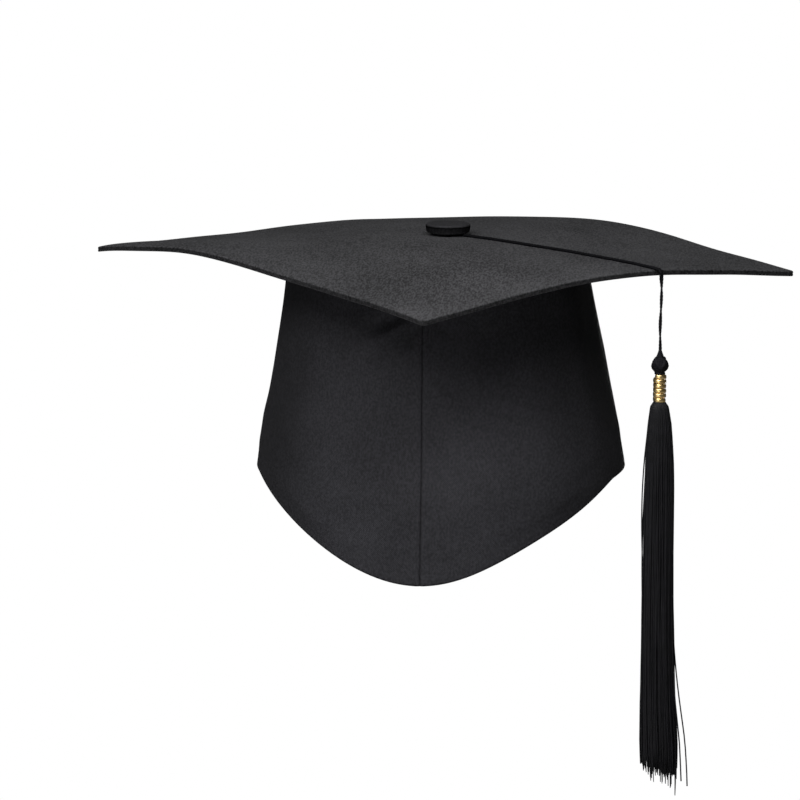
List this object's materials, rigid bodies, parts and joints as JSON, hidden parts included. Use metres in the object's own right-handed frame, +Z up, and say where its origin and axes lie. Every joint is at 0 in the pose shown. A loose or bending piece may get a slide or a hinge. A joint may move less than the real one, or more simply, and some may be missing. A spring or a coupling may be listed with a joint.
{
  "type": "graduation cap",
  "caption": "Square-topped academic cap with a soft crown that dips to a front peak, a covered button and a tassel on a looped cord.",
  "frame": {"origin": "centre of the head opening, level with the rim at the wearer's sides", "axes": "+Z up out of the crown through the button, -Y towards the front peak, +X towards the wearer's left, where the tassel hangs"},
  "size_m": [0.344, 0.344, 0.2566],
  "materials": {
    "board_cloth": "matte",
    "crown_cloth": "matte",
    "lining_cloth": "satin",
    "interlining": "matte",
    "board_sheet": "matte",
    "elastic": "matte",
    "label": "satin",
    "button_metal": "satin",
    "cord_yarn": "satin",
    "tassel_yarn": "satin",
    "gilt_wire": "polished"
  },
  "bodies": {
    "cap": {"board_stiffener": "board_sheet", "board_top_cover": "board_cloth", "board_bottom_cover": "board_cloth", "button_cover": "board_cloth", "button_shell": "button_metal", "button_back": "button_metal", "button_rivet": "button_metal", "button_washer": "button_metal", "crown_outer_left": "crown_cloth", "crown_outer_right": "crown_cloth", "crown_interlining_left": "interlining", "crown_interlining_right": "interlining", "crown_lining_left": "lining_cloth", "crown_lining_right": "lining_cloth", "crown_ceiling_lining": "lining_cloth", "sweatband": "lining_cloth", "elastic_band": "elastic", "elastic_casing": "lining_cloth", "size_label": "label"},
    "loop": {"cord_loop": "cord_yarn"},
    "run": {"cord_run": "cord_yarn"},
    "bend": {"cord_bend": "cord_yarn"},
    "drop": {"cord_drop": "cord_yarn"},
    "tassel": {"head_tie": "tassel_yarn", "head_bead": "tassel_yarn", "head_wrap": "tassel_yarn", "neck_coil": "gilt_wire", "tassel_skirt": "tassel_yarn"}
  },
  "joints": [
    {"name": "cord_turn", "type": "hinge", "parent": "cap", "child": "loop", "pos_m": [0, 0, 0.11813], "axis": [0, 0, 1], "range_deg": [-26, 0]},
    {"name": "cord_lift", "type": "hinge", "parent": "loop", "child": "run", "pos_m": [0.01057, -0.00661, 0.11806], "axis": [-0.5299, -0.848, 0], "range_deg": [0, 40]},
    {"name": "tassel_swing_out", "type": "hinge", "parent": "run", "child": "bend", "pos_m": [0.10714, -0.06695, 0.11099], "axis": [-0.5299, -0.848, 0], "range_deg": [-12, 85]},
    {"name": "tassel_swing_side", "type": "hinge", "parent": "bend", "child": "drop", "pos_m": [0.1088, -0.06799, 0.10715], "axis": [0.848, -0.5299, 0], "range_deg": [-60, 60]},
    {"name": "tassel_spin", "type": "hinge", "parent": "drop", "child": "tassel", "pos_m": [0.1088, -0.06799, 0.06565], "axis": [0, 0, 1], "range_deg": [-180, 180]}
  ]
}
